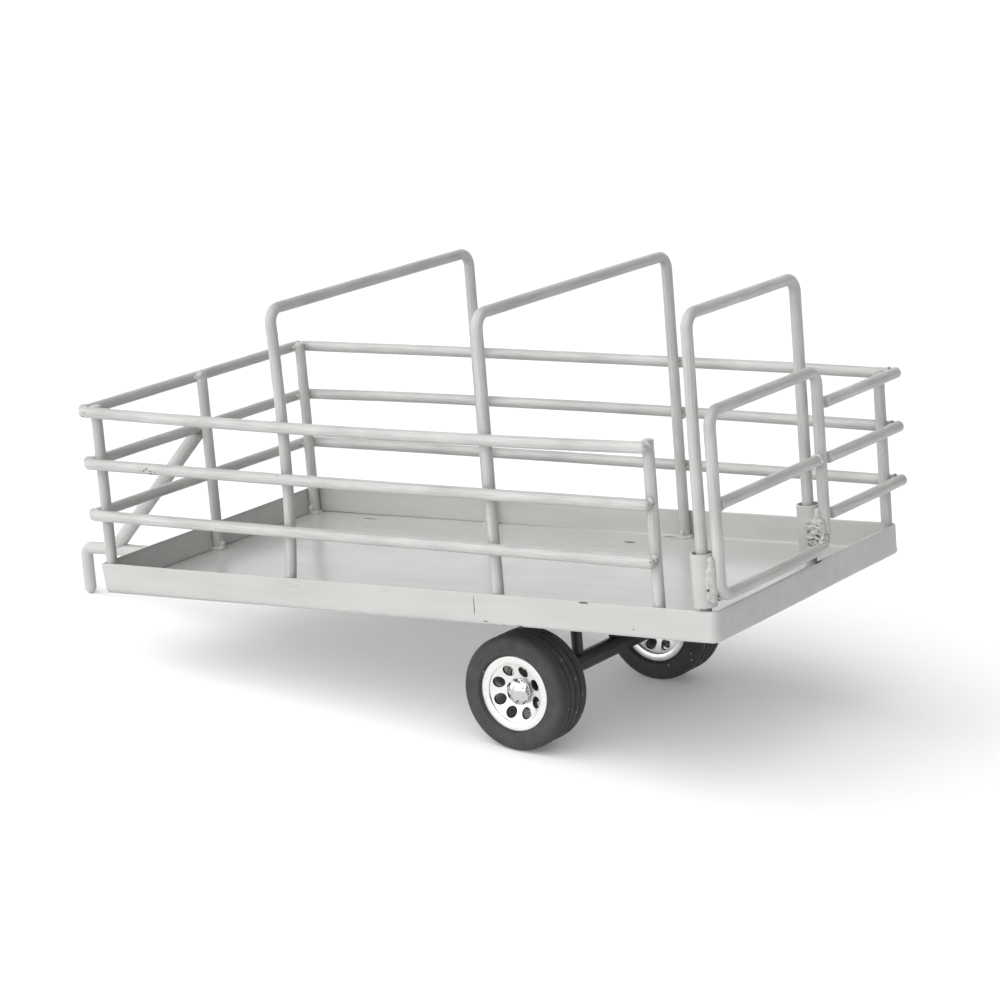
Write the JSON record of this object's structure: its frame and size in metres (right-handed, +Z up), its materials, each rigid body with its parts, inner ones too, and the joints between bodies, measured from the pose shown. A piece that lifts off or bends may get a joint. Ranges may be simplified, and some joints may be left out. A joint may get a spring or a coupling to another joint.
{
  "type": "toy livestock trailer",
  "caption": "Small welded farm trailer with a sheet tray, rod rails, tall hoops, a lift gate that slides on the rear hoop, and a rod hitch hook.",
  "frame": {"origin": "on the ground under the middle of the bounding box, with the deck level and the tyres on the ground", "axes": "+X along the trailer from the hitch hook to the gate, +Y from the near side (with the open end of the rails) to the far side, +Z up"},
  "size_m": [0.3858, 0.1596, 0.1847],
  "materials": {
    "pale_enamel": "brushed-on semi-gloss enamel",
    "black_enamel": "satin",
    "bright_steel": "drawn",
    "chromed_cap": "polished",
    "polished_rim": "bright turned",
    "tyre_rubber": "matte"
  },
  "bodies": {
    "trailer": {"tray": "pale_enamel", "front_near_post": "pale_enamel", "front_far_post": "pale_enamel", "rear_far_post": "pale_enamel", "near_end_post": "pale_enamel", "centre_stake": "pale_enamel", "near_rail_low": "pale_enamel", "near_rail_mid": "pale_enamel", "near_rail_top": "pale_enamel", "far_rail_low": "pale_enamel", "far_rail_mid": "pale_enamel", "far_rail_top": "pale_enamel", "front_rail_low": "pale_enamel", "front_rail_mid": "pale_enamel", "front_rail_top": "pale_enamel", "rear_rail_low": "pale_enamel", "rear_rail_mid": "pale_enamel", "rear_rail_top": "pale_enamel", "front_hoop": "pale_enamel", "middle_hoop": "pale_enamel", "gate_hoop": "pale_enamel", "drawbar": "pale_enamel", "drawbar_brace": "pale_enamel", "axle_tube": "black_enamel", "near_strut": "black_enamel", "far_strut": "black_enamel", "axle_rod": "bright_steel", "near_axle_cap": "chromed_cap", "far_axle_cap": "chromed_cap"},
    "gate": {"gate_frame": "pale_enamel", "gate_mid_bar": "pale_enamel", "near_gate_sleeve": "pale_enamel", "far_gate_sleeve": "pale_enamel"},
    "near_wheel": {"near_rim": "polished_rim", "near_tyre": "tyre_rubber"},
    "far_wheel": {"far_rim": "polished_rim", "far_tyre": "tyre_rubber"}
  },
  "joints": [
    {"name": "gate_lift", "type": "slide", "parent": "trailer", "child": "gate", "axis": [0, 0, 1], "range_m": [0, 0.085]},
    {"name": "near_wheel_spin", "type": "hinge", "parent": "trailer", "child": "near_wheel", "pos_m": [0.08502, -0.0549, 0.024], "axis": [0, 1, 0], "continuous": true},
    {"name": "far_wheel_spin", "type": "hinge", "parent": "trailer", "child": "far_wheel", "pos_m": [0.08502, 0.0549, 0.024], "axis": [0, 1, 0], "continuous": true}
  ]
}
